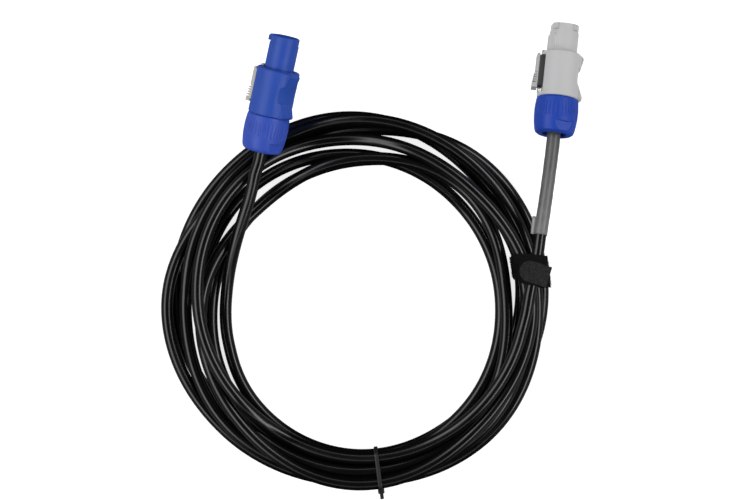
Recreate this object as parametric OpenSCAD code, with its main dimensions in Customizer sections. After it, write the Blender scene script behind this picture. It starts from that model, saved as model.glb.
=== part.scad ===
// Mains link lead for a caravan: a coiled cable with a twist-lock power inlet
// connector (blue) on one end and a power outlet connector (grey) on the other.
// Millimetres. X right, Y up the table, Z up. The lead lies on the plane z = 0.

/* [Cable] */
// outer diameter of the cable
cord_d = 8; // [7:0.1:8]
// clear space between cable strands that lie on each other
strand_gap = 0.56; // [0.54:0.01:0.65]
// diameter of one insulated core inside the cable
core_d = 2.9; // [2.4:0.1:3.2]
// wall of the heat-shrink sleeve
sleeve_wall = 0.3; // [0.2:0.05:0.5]

/* [Barrel] */
// outside diameter of the plug-in barrel
barrel_d = 19; // [18:0.1:20]
// length of the inlet's barrel in front of the shell
inlet_barrel_l = 21.5; // [19:0.5:25]
// length of the outlet's barrel in front of the shell
outlet_barrel_l = 19.5; // [18:0.5:25]
// wall of the barrel
barrel_wall = 1.6; // [1.2:0.1:2]
// how far the contact carrier sits behind the barrel's rim
mouth_depth = 7.5; // [5:0.5:9]
// how far the locking keys stand out of the barrel
key_h = 1.2; // [0.8:0.1:1.6]
// length of a locking key along the barrel
key_l = 4.2; // [3:0.1:5]

/* [Shell] */
// diameter of the shell
shell_d = 27.6; // [27.2:0.1:29]
// length of the shell
shell_l = 30; // [29:0.5:34]
// bore of the shell behind the barrel
cavity_d = 20.4; // [20:0.1:20.8]
// reach of the finger grip's front horn from the centre line
horn_front = 14.4; // [14.2:0.1:15.5]
// reach of the finger grip's rear horn from the centre line
horn_rear = 15.6; // [14.6:0.1:17]
// distance from the centre line to the bottom of the finger groove
waist = 11.6; // [11.4:0.1:12.4]
// width of the finger grip's horns
horn_w = 11; // [9:0.5:13]
// wall of the threaded neck behind the shell
neck_wall = 1.5; // [1.2:0.1:1.7]
// length of the threaded neck
neck_l = 14; // [12:0.5:15]

/* [Latch] */
// depth of the flat that the latch slides on, below the shell's round side
latch_depth = 2.9; // [2.6:0.1:3]
// height of the latch bar above the flat
latch_bar_h = 3.3; // [3:0.1:3.6]
// width of the latch bar
latch_w = 10; // [8:0.5:12]
// length of the latch bar on the flat
latch_l = 20; // [18:0.5:20.5]
// travel of the latch
latch_travel = 4; // [3:0.5:4.5]
// thickness of the thumb plate
thumb_t = 1.8; // [1.4:0.1:2.4]
// length of the thumb plate
thumb_l = 23; // [22:0.5:25]

/* [Ring nut] */
// largest diameter of the ring nut
nut_d = 28.6; // [28:0.1:30]
// length of the ring nut
nut_l = 23.7; // [22:0.1:26]
// diameter of the ring nut's rear mouth
nut_mouth_d = 16; // [15:0.5:17]
// number of grip flutes round the ring nut
flutes = 40; // [24:1:44]
// distance between the ring nut's two spanner flats
spanner = 24.6; // [24:0.1:26]
// thread clearance between neck and ring nut
thread_gap = 0.1; // [0.08:0.01:0.15]

/* [Inside] */
// diameter of the carrier's post
post_d = 11.2; // [10:0.2:12]
// length of the contact carrier behind its flange
carrier_l = 14; // [12:0.5:16]
// width of a contact blade
blade_w = 4; // [3:0.1:5]
// thickness of a contact blade
blade_t = 1; // [0.8:0.1:1.4]
// clearance of parts that slip into each other
slip = 0.2; // [0.15:0.01:0.25]

/* [Bundle] */
// outer diameter of the coil; the connectors' places go with it
coil_d = 256; // [252:1:260]
// thickness of the hook-and-loop strap
strap_t = 1.3; // [1:0.1:1.4]
// width of the hook-and-loop strap
strap_w = 20; // [17:0.5:20]
// width of the strap's closing end
strap_end_w = 13; // [11:0.5:15]
// thickness of the cable tie's band
tie_t = 1.1; // [0.9:0.1:1.4]
// width of the cable tie's band
tie_w = 2.5; // [2:0.1:4]

/* [Hidden] */
$fn = 48;
e = 0.01;
cord_r = cord_d / 2;
cord_sides = 12;
spread = coil_d / 256;            // what the layout on the table is multiplied by

// ---- the two connectors: place of the shell's front face, lean and tilt ----
inlet_at = [-87.1 * spread, 10.3, 46.4];
inlet_lean = 12.8;
inlet_tilt = 10;
inlet_roll = -35;
outlet_lean = 6.6;
outlet_tilt = -10;
outlet_roll = 0;
outlet_at = [96.9 * spread, 22.2, shell_d / 2 * cos(outlet_tilt) - 0.1];

// ---- connector sizes that follow from the others ----
barrel_r = barrel_d / 2;
bore_r = barrel_r - barrel_wall;
shell_r = shell_d / 2;
latch_flat = shell_r - latch_depth;
cavity_r = cavity_d / 2;
seam_l = 1;                       // dark seam between barrel and shell
pad_h = 0.8;                      // height of the outlet's polarising pad
seam_w = pad_h + 0.2;             // the seam's reach into the shell's face, past the pad
tip_step = 0.35;                  // the keyed front stretch is this much thinner
tip_l = key_l + 0.8;
seat_z = -2;                      // shoulder inside the shell that the carrier meets
flange_l = 4;
carrier_z = seat_z - flange_l - carrier_l;
post_r = post_d / 2;
neck_r = cavity_r + neck_wall;
channel_front = -2.5;
bar_top = latch_flat + 0.3 + latch_bar_h;
bar_front = channel_front - 0.4;
bar_rear = bar_front - latch_l;
channel_rear = bar_rear - latch_travel - 0.7;
spring_r = (latch_bar_h - 0.8) / 2;
spring_x = latch_flat + 0.3 + latch_bar_h / 2;
spring_pocket = 8;
nut_front = -shell_l - 0.3;
nut_rear = nut_front - nut_l;
nut_r = nut_d / 2;
chuck_front = carrier_z - 5;
chuck_r = cavity_r - slip;
cone_z = -shell_l - neck_l - 0.3;  // where the ring nut's inner cone starts
cone_l = 3.6;
cone_drop = 2.3;
chuck_rear = cone_z - cone_l + 0.3;
sheath_z = carrier_z - 7;          // where the cable's jacket has been cut back
contact_a = [90, 210, 330];        // line, neutral, earth
block_r = 5.6;                     // terminal blocks' distance from the centre line
block = [4.6, 5, 9];
wire_r = 0.95;
screw_r = 1.4;
screw_z = carrier_z + 4.2;

// ---- coil: hand-laid turns ----
// Distance of the cable from the coil's centre every 45 degrees, one row a turn,
// starting at angle 0, in a coil of 256 mm. It spirals out, back in and out again.
coil_at = [-37.9, -138.2] * spread;
coil_start = 205;
coil_end = 7 * 360 + 350;
laps = [
  [ 86.0,  86.0,  86.0,  86.0,  84.7,  95.0, 102.0, 103.0],
  [108.3, 112.5, 120.0, 119.3, 118.6, 113.0, 110.7, 114.5],
  [122.5, 122.5, 111.3, 109.6, 123.5, 121.5, 119.3, 124.0],
  [118.5, 117.0, 118.0, 113.6, 111.5, 117.3, 115.0, 118.3],
  [111.5, 104.5,  91.5,  88.5,  94.5, 103.7, 105.5, 101.3],
  [ 95.0,  92.5,  95.0, 100.8, 102.2, 107.5, 111.5, 109.8],
  [ 98.0, 100.6,  92.0,  87.5, 100.3, 108.5, 119.3, 114.2],
  [114.0, 104.0, 105.0, 107.6, 102.5,  99.3, 102.5, 105.7],
  [110.0, 114.0]];
station = 45;
sample = 5;
ring_every = 3;                   // a ring of the tube at every third sample
soften = 2;                       // samples over which a rise is spread
coil_sides = 6;
strap_a = 10;
tie_a = 277.5;
lay = cord_d + strand_gap;
per_turn = 360 / sample;
samples = (coil_end - coil_start) / sample;
last = samples + 2 * soften;      // a few more, so that the end rests right too
all_r = [for (row = laps) for (r = row) r * spread];

function clampi(i, n) = max(0, min(n, i));
function lap_r(s) =
  let (q = s / station, i = floor(q), t = q - i, n = len(all_r) - 1,
       a = all_r[clampi(i - 1, n)], b = all_r[clampi(i, n)],
       c = all_r[clampi(i + 1, n)], d = all_r[clampi(i + 2, n)])
  0.5 * (2 * b + (c - a) * t + (2 * a - 5 * b + 4 * c - d) * t * t
         + (3 * b - a - 3 * c + d) * t * t * t);

// the strap and the tie pass under the bundle and lift it a little
function lift(s, at, h) =
  let (d = abs((s - at + 900) % 360 - 180))
  d <= 10 ? h : d >= 40 ? 0 : h * (0.5 + 0.5 * cos((d - 10) * 6));
function ground(s) = max(lift(s, strap_a, strap_t + 0.35), lift(s, tie_a, tie_t + 0.35));

coil_r = [for (i = [0 : last]) lap_r(coil_start + i * sample)];

// a strand rests on the ground or in the hollow between the strands laid before it
function rest(i, z) =
  max([ground(coil_start + i * sample),
       for (j = [i - per_turn : -per_turn : 0])
         let (d = abs(coil_r[i] - coil_r[j]))
         d < lay ? z[j] + sqrt(lay * lay - d * d) : 0]);
function top_of(i, z) =
  max([for (k = [-soften : soften]) rest(clampi(i + k, last), z)]);
function hump(i, z) =
  let (w = [for (k = [-soften : soften]) soften + 1 - abs(k)],
       v = [for (k = [-soften : soften])
              w[k + soften] * top_of(clampi(i + k, last), z)])
  total(v) / total(w);
function total(v, i = 0) = i >= len(v) ? 0 : v[i] + total(v, i + 1);
function laid(i, z) = i > samples ? z : laid(i + 1, concat(z, [hump(i, z)]));
coil_z = laid(0, []);

flat_r = cord_r * cos(180 / coil_sides);
function coil_point(i) =
  let (a = coil_start + i * sample)
  [coil_at[0] + coil_r[i] * cos(a), coil_at[1] + coil_r[i] * sin(a), coil_z[i] + flat_r];
coil_route = concat(
  [for (i = [0 : ring_every : samples]) coil_point(i)],
  samples % ring_every == 0 ? [] : [coil_point(samples)]);

// least clear space between two turns, measured on points along the tube
fine = [for (i = [0 : len(coil_route) - 2]) for (f = [0 : 2])
          coil_route[i] + (coil_route[i + 1] - coil_route[i]) * f / 3];
fine_turn = 3 * 360 / (sample * ring_every);
least = min([for (i = [0 : len(fine) - 1]) for (m = [1 : 7]) for (k = [-1 : 1])
               let (j = i + m * fine_turn + k)
               if (j < len(fine)) norm(fine[i] - fine[j])]) - cord_d;
function route_len(p, i = 0) =
  i >= len(p) - 1 ? 0 : norm(p[i + 1] - p[i]) + route_len(p, i + 1);

// ---- free stretches of cable: points chosen by hand, measured from the coil's centre ----
drop = cord_r - flat_r;
function on_table(p) =
  [coil_at[0] + p[0] * spread, coil_at[1] + p[1] * spread, p[2] - drop];
inlet_points = [
  [-65, 82, 34.5], [-67, 73, 32.5], [-69.5, 64, 30], [-73, 53.5, 27],
  [-76.5, 43, 23.5], [-80, 31, 18.5], [-83, 18, 13], [-85, 4, 8.5],
  [-85.8, -9, 5.7], [-85, -22, 4.3]];
outlet_points = [
  [110, -8.5, 36.9], [112, 3, 37.3], [114.2, 14, 36.5], [116.4, 24, 35.1],
  [118, 33.5, 33.7], [119.5, 44, 32.2], [121.6, 57, 30.4], [123.9, 72, 28.4]];

// ---- placing ----
module in_place(at, lean, tilt, roll) {
  translate(at) rotate([tilt - 90, 0, -lean]) rotate([0, 0, roll]) children();
}
function axis_of(lean, tilt) = [sin(lean) * cos(tilt), cos(lean) * cos(tilt), sin(tilt)];
function on_axis(at, lean, tilt, z) = at + axis_of(lean, tilt) * z;
module inlet() { in_place(inlet_at, inlet_lean, inlet_tilt, inlet_roll) children(); }
module outlet() { in_place(outlet_at, outlet_lean, outlet_tilt, outlet_roll) children(); }

inlet_route = concat(
  [for (z = [sheath_z, -shell_l, nut_rear + 4, nut_rear - 9])
     on_axis(inlet_at, inlet_lean, inlet_tilt, z)],
  [for (p = inlet_points) on_table(p)],
  [coil_route[0]]);
outlet_route = concat(
  [coil_route[len(coil_route) - 1]],
  [for (p = outlet_points) on_table(p)],
  [for (z = [nut_rear - 9, nut_rear + 2.5, -shell_l, sheath_z])
     on_axis(outlet_at, outlet_lean, outlet_tilt, z)]);
sleeve_route = [for (i = [6 : len(outlet_route) - 3]) outlet_route[i]];

echo(coil_turns = (coil_end - coil_start) / 360, coil_length = route_len(coil_route),
     least_gap = least, top = max(coil_z) + cord_d,
     cable_length = route_len(coil_route) + route_len(inlet_route) + route_len(outlet_route));

// ---- sweeping a round section along a route ----
function unit(v) = v / norm(v);
function heading(p, i) =
  i == 0 ? unit(p[1] - p[0])
  : i == len(p) - 1 ? unit(p[i] - p[i - 1])
  : unit(unit(p[i + 1] - p[i]) + unit(p[i] - p[i - 1]));
function ring(at, dir, r, n) =
  let (s = unit(cross(dir, [0, 0, 1])), u = cross(s, dir))
  [for (k = [0 : n - 1]) at + r * (s * cos(360 * k / n) + u * sin(360 * k / n))];
function skin(rings, n, from = 0) =
  [for (i = [0 : rings - 2]) for (k = [0 : n - 1])
     let (a = from + i * n, b = a + n, k2 = (k + 1) % n)
     each [[a + k, b + k, a + k2], [a + k2, b + k, b + k2]]];
function flip(faces) = [for (f = faces) [f[0], f[2], f[1]]];

// closed tube with flat ends; first_dir and last_dir set the end faces
module cable(p, r, n, first_dir = undef, last_dir = undef) {
  dirs = [for (i = [0 : len(p) - 1])
            i == 0 && first_dir != undef ? first_dir
            : i == len(p) - 1 && last_dir != undef ? last_dir : heading(p, i)];
  m = (len(p) - 1) * n;
  polyhedron([for (i = [0 : len(p) - 1]) each ring(p[i], dirs[i], r, n)],
    concat(skin(len(p), n),
      [for (k = [1 : n - 2]) [0, k, k + 1]],
      [for (k = [1 : n - 2]) [m, m + k + 1, m + k]]));
}

// open-ended sleeve with a wall
module hose(p, r_in, r_out, n) {
  m = len(p) * n;
  z = (len(p) - 1) * n;
  polyhedron(
    concat([for (i = [0 : len(p) - 1]) each ring(p[i], heading(p, i), r_out, n)],
           [for (i = [0 : len(p) - 1]) each ring(p[i], heading(p, i), r_in, n)]),
    concat(skin(len(p), n), flip(skin(len(p), n, m)),
      [for (k = [0 : n - 1]) let (k2 = (k + 1) % n)
         each [[k, k2, m + k], [k2, m + k2, m + k]]],
      [for (k = [0 : n - 1]) let (k2 = (k + 1) % n)
         each [[z + k, m + z + k, z + k2], [z + k2, m + z + k, m + z + k2]]]));
}

// tangents of the coil's two ends, so that the free stretches meet it square
start_dir = heading(coil_route, 0);
end_dir = heading(coil_route, len(coil_route) - 1);

// =================================================== connector sub-parts
// side view of the finger grip: horns in front and behind, groove between
groove_z = [-9.5, -20];
groove_in = 0.5;
grip_back = 15.2;                 // the grip's floor is round about an axis this far behind
function groove_x(z) =
  let (m = (groove_z[0] + groove_z[1]) / 2, h = (groove_z[0] - groove_z[1]) / 2)
  waist + 0.55 * (z - m) * (z - m) / (h * h);
grip_outline = concat(
  [[-30, e], [11, e], [horn_front - 0.5, -1.7], [horn_front, -2.4],
   [horn_front - 0.1, -3.3], [waist + 1.05 + groove_in * 0.3, groove_z[0]]],
  [for (z = [groove_z[0] : -1.5 : groove_z[1]]) [groove_x(z), z]],
  [[waist + 1.0, groove_z[1] - 0.1], [horn_rear - 0.5, -shell_l + 3.2],
   [horn_rear, -shell_l + 2], [horn_rear - 0.2, -shell_l + 0.9],
   [shell_r, -shell_l - e], [-30, -shell_l - e]]);

module shell_body() {
  intersection() {
    union() {
      rotate_extrude($fn = 96)
        polygon([[0, -shell_l], [shell_r - 0.5, -shell_l], [shell_r, -shell_l + 0.8],
                 [shell_r, -0.7], [shell_r - 0.7, 0], [0, 0]]);
      translate([0, -horn_w / 2, -shell_l]) cube([horn_rear + 1, horn_w, shell_l]);
    }
    translate([-grip_back, 0, 0]) rotate_extrude($fn = 180)
      polygon([for (p = grip_outline) [max(0, p[0] + grip_back), p[1]]]);
  }
}

module barrel_outside(len) {
  rotate_extrude($fn = 96)
    polygon([[0, -3], [barrel_r - 0.5, -3], [barrel_r - 0.5, seam_l],
             [barrel_r, seam_l], [barrel_r, len - tip_l],
             [barrel_r - tip_step, len - tip_l - 0.3], [barrel_r - tip_step, len - 0.6],
             [barrel_r - 0.9, len], [0, len]]);
}

// one locking key: a chamfered block on the barrel's front edge
module key(a, w, len) {
  rotate([0, 0, a]) rotate([90, 0, 0])
    linear_extrude(height = w, center = true)
      polygon([[barrel_r - 1, len - key_l], [barrel_r + key_h, len - key_l],
               [barrel_r + key_h, len - 1.2], [barrel_r + key_h - 0.9, len - 0.1],
               [barrel_r - 1, len - 0.1]]);
}

// raised polarising pad on the outlet's barrel, and the small flat panel beside it
module pad(len) {
  intersection() {
    rotate_extrude($fn = 96)
      polygon([[barrel_r - 1, seam_l], [barrel_r + pad_h, seam_l],
               [barrel_r + pad_h, len - 8], [barrel_r - 0.2, len - 6.6],
               [barrel_r - 1, len - 6.6]]);
    rotate([0, 0, 200]) translate([5, -5.5, 0]) cube([10, 11, len]);
  }
  intersection() {
    cylinder(r = barrel_r + 0.35, h = len, $fn = 96);
    rotate([0, 0, 254]) translate([5, 0, len - 12.2]) rotate([0, 90, 0])
      linear_extrude(height = 10) offset(r = 1, $fn = 24)
        square([5, 5.6], center = true);
  }
}

module housing(keys, len, with_pad) {
  difference() {
    union() {
      shell_body();
      barrel_outside(len);
      translate([0, 0, -shell_l - neck_l]) cylinder(r = neck_r, h = neck_l + 1, $fn = 96);
      for (k = keys) key(k[0], k[1], len);
      if (with_pad) pad(len);
    }
    // seam round the barrel, sunk into the shell's face
    rotate_extrude($fn = 96)
      translate([barrel_r - 0.5, -0.4]) square([0.5 + seam_w, 0.4 + e]);
    // front bore, shoulder and rear cavity
    translate([0, 0, seat_z - 1]) cylinder(r = bore_r, h = len + 5, $fn = 96);
    translate([0, 0, -shell_l - neck_l - 1])
      cylinder(r = cavity_r, h = shell_l + neck_l + 1 + seat_z, $fn = 96);
    // flat that the latch slides on, and the notch its nose passes through
    translate([-latch_flat - 10, -15, channel_rear])
      cube([10, 30, channel_front - channel_rear]);
    translate([-latch_flat - 10, -latch_w / 4 - 0.3, channel_front - 1])
      cube([10, latch_w / 2 + 0.6, 5]);
  }
}

module latch_bar() {
  difference() {
    union() {
      translate([-bar_top, -latch_w / 2, bar_rear])
        cube([latch_bar_h, latch_w, latch_l]);
      translate([-latch_flat - 0.3 - 1.9, -latch_w / 4, bar_front - 1])
        cube([1.9, latch_w / 2, 1 - bar_front + 1]);
    }
    translate([-spring_x, 0, bar_rear - 1])
      cylinder(r = spring_r + 0.15, h = spring_pocket + 1);
  }
}

// thumb plate with its serrations and foot, clipped on the bar
module thumb_plate() {
  front = -1.6;
  foot_l = 3;
  x0 = bar_top;
  teeth = front - thumb_l + foot_l + 6.9;
  outline = concat(
    [[x0, front], [x0 + thumb_t - 0.5, front], [x0 + thumb_t, front - 0.8],
     [x0 + thumb_t, teeth + 0.8]],
    [for (i = [0 : 3]) each [[x0 + 0.6, teeth - 1.6 * i],
                             [x0 + thumb_t + 0.7 + 0.2 * i, teeth - 0.5 - 1.6 * i],
                             [x0 + thumb_t + 0.9 + 0.2 * i, teeth - 1.2 - 1.6 * i],
                             [x0 + 0.6, teeth - 1.5 - 1.6 * i]]],
    [[x0 + thumb_t + 0.2, front - thumb_l + foot_l],
     [x0 + thumb_t + 1.5, front - thumb_l + foot_l - 0.2],
     [x0 + thumb_t + 1.5, front - thumb_l], [x0, front - thumb_l]]);
  rotate([90, 0, 0]) linear_extrude(height = latch_w, center = true)
    polygon([for (p = outline) [-p[0], p[1]]]);
}

module latch_spring() {
  top = bar_rear + spring_pocket - 0.05;
  translate([-spring_x, 0, channel_rear + 0.05]) difference() {
    cylinder(r = spring_r, h = top - channel_rear - 0.05);
    translate([0, 0, -1]) cylinder(r = spring_r - 0.5, h = top - channel_rear + 3);
  }
}

module carrier(len) {
  difference() {
    union() {
      translate([0, 0, seat_z - e]) cylinder(r = post_r, h = len - mouth_depth - seat_z);
      translate([0, 0, seat_z - flange_l])
        cylinder(r = cavity_r - slip, h = flange_l, $fn = 96);
      translate([0, 0, carrier_z]) cylinder(r = cavity_r - 0.4, h = carrier_l + e, $fn = 96);
    }
    for (a = contact_a) rotate([0, 0, a]) {
      // slot of the blade and pocket of the terminal block
      translate([post_r - blade_t - 0.1, -blade_w / 2 - 0.1, carrier_z + block[2] - e])
        cube([blade_t + 0.2, blade_w + 0.2, len - mouth_depth - 1 - carrier_z - block[2]]);
      translate([post_r - blade_t - 0.1, -blade_w / 2 - 0.1, seat_z])
        cube([blade_t + 1, blade_w + 0.2, len - mouth_depth - 1 - seat_z]);
      translate([block_r - block[0] / 2 - 0.1, -block[1] / 2 - 0.1, carrier_z - 1])
        cube([block[0] + 0.2, block[1] + 0.2, block[2] + 1]);
      translate([block_r, 0, screw_z]) rotate([0, 90, 0])
        cylinder(r = screw_r + 0.5, h = 6);
    }
  }
}

module contact(a, len) {
  rotate([0, 0, a]) difference() {
    union() {
      translate([post_r - blade_t, -blade_w / 2, carrier_z + block[2] - 1])
        cube([blade_t, blade_w, len - mouth_depth - 1.1 - carrier_z - block[2] + 1]);
      translate([block_r - block[0] / 2, -block[1] / 2, carrier_z + 0.1])
        cube([block[0], block[1], block[2] - 0.1]);
    }
    translate([block_r - 0.6, 0, carrier_z - 1]) cylinder(r = wire_r + 0.05, h = block[2] - 1);
    translate([block_r - 0.6, 0, screw_z]) rotate([0, 90, 0])
      cylinder(r = screw_r + 0.05, h = 6);
  }
}

// one grub screw in each terminal block
module screws() {
  for (a = contact_a) rotate([0, 0, a])
    translate([block_r - 0.6 + wire_r + 0.02, 0, screw_z]) rotate([0, 90, 0]) difference() {
      cylinder(r = screw_r, h = 3.4);
      translate([-0.3, -2, 2.6]) cube([0.6, 4, 2]);
    }
}

// insulated core from the cut jacket to its terminal, with the bared end in the block
module core(a) {
  from = [1.75 * cos(a), 1.75 * sin(a), sheath_z + 0.05];
  to = [(block_r - 0.6) * cos(a), (block_r - 0.6) * sin(a), carrier_z - 0.3];
  d = to - from;
  tip = [0, 0, carrier_z + block[2] - 2.6];
  union() {
    hull() {
      translate(from) cylinder(r = core_d / 2, h = 0.3, $fn = 20);
      translate(to - [0, 0, 0.3]) cylinder(r = core_d / 2, h = 0.3, $fn = 20);
    }
    translate(to - [0, 0, 0.1]) cylinder(r = wire_r, h = tip[2] - to[2], $fn = 20);
  }
}

// clamping chuck: slotted fingers that the ring nut's cone presses on the cable
module chuck() {
  grip_z = sheath_z - 3;
  difference() {
    rotate_extrude($fn = 96)
      polygon([[0, chuck_front], [chuck_r - 0.4, chuck_front], [chuck_r, chuck_front - 0.4],
               [chuck_r, cone_z + 0.2], [chuck_r - cone_drop, chuck_rear],
               [0, chuck_rear]]);
    translate([0, 0, grip_z]) cylinder(r = chuck_r - 2.4, h = 30, $fn = 96);
    translate([0, 0, chuck_rear - 1])
      cylinder(r = cord_r + slip / 2, h = 60, $fn = 96);
    for (a = [0 : 60 : 120]) rotate([0, 0, a])
      translate([-20, -0.5, chuck_rear - 1]) cube([40, 1, grip_z - 3 - chuck_rear + 1]);
  }
}

module ring_nut() {
  inner_r = neck_r + thread_gap;
  flute_r = 0.9;
  difference() {
    rotate_extrude($fn = 96)
      polygon([[inner_r, nut_front], [nut_r - 0.9, nut_front], [nut_r - 0.5, nut_front - 1.2],
               [nut_r, nut_front - 7], [nut_r - 0.1, nut_front - 12],
               [nut_r - 0.5, nut_front - 16.5], [nut_r - 1.2, nut_rear + 3],
               [nut_r - 1.9, nut_rear + 1.2], [nut_r - 3.1, nut_rear + 0.3],
               [nut_r - 4.2, nut_rear], [nut_mouth_d / 2 + 0.6, nut_rear],
               [nut_mouth_d / 2, nut_rear + 0.6], [nut_mouth_d / 2, cone_z - cone_l],
               [chuck_r - cone_drop + 0.3, cone_z - cone_l], [chuck_r + 0.3, cone_z],
               [inner_r, cone_z]]);
    // shallow grip flutes on the front part
    for (i = [0 : flutes - 1]) rotate([0, 0, i * 360 / flutes])
      translate([nut_r + flute_r - 0.45, 0, nut_front - 13.5]) cylinder(r = flute_r, h = 12, $fn = 16);
    // two flats for a spanner on the rear part
    for (s = [-1, 1])
      translate([s * (spanner / 2 + 5), 0, nut_rear - 1]) cube([10, 40, 17], center = true);
  }
}

// =================================================== nodes
inlet_nut_turn = -7;
outlet_nut_turn = -68;

module inlet_housing() { color("#2e4db8") inlet()
  housing([[207, 3.2], [127, 3.2]], inlet_barrel_l, false); }
module inlet_carrier() { color("#202226") inlet() carrier(inlet_barrel_l); }
module inlet_contact_line() { color("#c9a24a") inlet() contact(contact_a[0], inlet_barrel_l); }
module inlet_contact_neutral() { color("#c9a24a") inlet() contact(contact_a[1], inlet_barrel_l); }
module inlet_contact_earth() { color("#c9a24a") inlet() contact(contact_a[2], inlet_barrel_l); }
module inlet_screws() { color("#b9bcc0") inlet() screws(); }
module inlet_core_line() { color("#6b3f22") inlet() core(contact_a[0]); }
module inlet_core_neutral() { color("#2b59b5") inlet() core(contact_a[1]); }
module inlet_core_earth() { color("#6c9a2f") inlet() core(contact_a[2]); }
module inlet_latch_bar() { color("#3a3b3e") inlet() latch_bar(); }
module inlet_thumb_plate() { color("#d8d6cb") inlet() thumb_plate(); }
module inlet_latch_spring() { color("#a9adb2") inlet() latch_spring(); }
module inlet_chuck() { color("#e9e7df") inlet() chuck(); }
module inlet_ring_nut() { color("#2e4db8") inlet() rotate([0, 0, inlet_nut_turn]) ring_nut(); }

module outlet_housing() { color("#bcbcbc") outlet()
  housing([[228, 4], [-48, 4]], outlet_barrel_l, true); }
module outlet_carrier() { color("#202226") outlet() carrier(outlet_barrel_l); }
module outlet_contact_line() { color("#c9a24a") outlet() contact(contact_a[0], outlet_barrel_l); }
module outlet_contact_neutral() { color("#c9a24a") outlet() contact(contact_a[1], outlet_barrel_l); }
module outlet_contact_earth() { color("#c9a24a") outlet() contact(contact_a[2], outlet_barrel_l); }
module outlet_screws() { color("#b9bcc0") outlet() screws(); }
module outlet_core_line() { color("#6b3f22") outlet() core(contact_a[0]); }
module outlet_core_neutral() { color("#2b59b5") outlet() core(contact_a[1]); }
module outlet_core_earth() { color("#6c9a2f") outlet() core(contact_a[2]); }
module outlet_latch_bar() { color("#3a3b3e") outlet() latch_bar(); }
module outlet_thumb_plate() { color("#c9c9c6") outlet() thumb_plate(); }
module outlet_latch_spring() { color("#a9adb2") outlet() latch_spring(); }
module outlet_chuck() { color("#e9e7df") outlet() chuck(); }
module outlet_ring_nut() { color("#2747b5") outlet() rotate([0, 0, outlet_nut_turn]) ring_nut(); }

module cord_coil() { color("#141416") cable(coil_route, cord_r, coil_sides); }
module cord_inlet_end() {
  color("#141416") cable(inlet_route, cord_r, cord_sides, undef, start_dir);
}
module cord_outlet_end() {
  color("#141416") cable(outlet_route, cord_r, cord_sides, end_dir, undef);
}
module heat_shrink() {
  color("#4a4b4e") hose(sleeve_route, cord_r + 0.05, cord_r + 0.05 + sleeve_wall, cord_sides);
}

// where a route passes through three planes across the bundle: a band's middle and edges
function strands_at(route, a, w, in_r, out_r) =
  [for (v = [-w / 2, 0, w / 2]) for (i = [0 : len(route) - 2])
     let (p = route[i] - [coil_at[0], coil_at[1], 0],
          q = route[i + 1] - [coil_at[0], coil_at[1], 0],
          f = p[1] * cos(a) - p[0] * sin(a) - v, g = q[1] * cos(a) - q[0] * sin(a) - v)
     if (f * g <= 0 && f != g)
       let (m = p + (q - p) * f / (f - g), r = m[0] * cos(a) + m[1] * sin(a))
       if (r > in_r * spread && r < out_r * spread) [r, m[2]]];
module across(a) {
  translate([coil_at[0], coil_at[1], 0]) rotate([90, 0, a]) children();
}
module band(points, t, w) {
  linear_extrude(height = w, center = true) difference() {
    hull() for (p = points) translate(p) circle(r = cord_r + 0.3 + t, $fn = 32);
    hull() for (p = points) translate(p) circle(r = cord_r + 0.3, $fn = 32);
  }
}
module hook_loop_strap() {
  held = concat(strands_at(coil_route, strap_a, strap_w, 104, 130),
                strands_at(outlet_route, strap_a, strap_w, 104, 130));
  high = max([for (p = held) p[1]]) + cord_r + 0.3 + strap_t;
  color("#17171a") across(strap_a) {
    band(held, strap_t, strap_w);
    // the closing end lies flat on top of the loop
    translate([124.8 * spread, high - 0.05, 6.5]) rotate([-90, 0, 0]) rotate([0, 0, -28])
      linear_extrude(height = strap_t) union() {
        translate([-13.5, -strap_end_w / 2]) square([13.5, strap_end_w]);
        translate([-13.5, 0]) circle(r = strap_end_w / 2, $fn = 40);
      }
  }
}

module cable_tie() {
  held = strands_at(coil_route, tie_a, tie_w, 90, 132);
  far = max([for (p = held) p[0]]) + cord_r + 0.3 + tie_t;
  mid = 12;
  color("#101012") across(tie_a) union() {
    band(held, tie_t, tie_w);
    // head outside the bundle and the cut end that sticks out of it
    translate([far - 0.3, mid - 2.4, -2.1]) cube([3.2, 4.8, 4.2]);
    translate([far - 0.3, mid - 0.55, -tie_w / 2]) cube([7, 1.1, tie_w]);
  }
}

inlet_housing();
inlet_carrier();
inlet_contact_line();
inlet_contact_neutral();
inlet_contact_earth();
inlet_screws();
inlet_core_line();
inlet_core_neutral();
inlet_core_earth();
inlet_latch_bar();
inlet_thumb_plate();
inlet_latch_spring();
inlet_chuck();
inlet_ring_nut();
outlet_housing();
outlet_carrier();
outlet_contact_line();
outlet_contact_neutral();
outlet_contact_earth();
outlet_screws();
outlet_core_line();
outlet_core_neutral();
outlet_core_earth();
outlet_latch_bar();
outlet_thumb_plate();
outlet_latch_spring();
outlet_chuck();
outlet_ring_nut();
cord_coil();
cord_inlet_end();
cord_outlet_end();
heat_shrink();
hook_loop_strap();
cable_tie();
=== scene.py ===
import math

import bmesh
import bpy
from mathutils import Matrix, Vector


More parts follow.
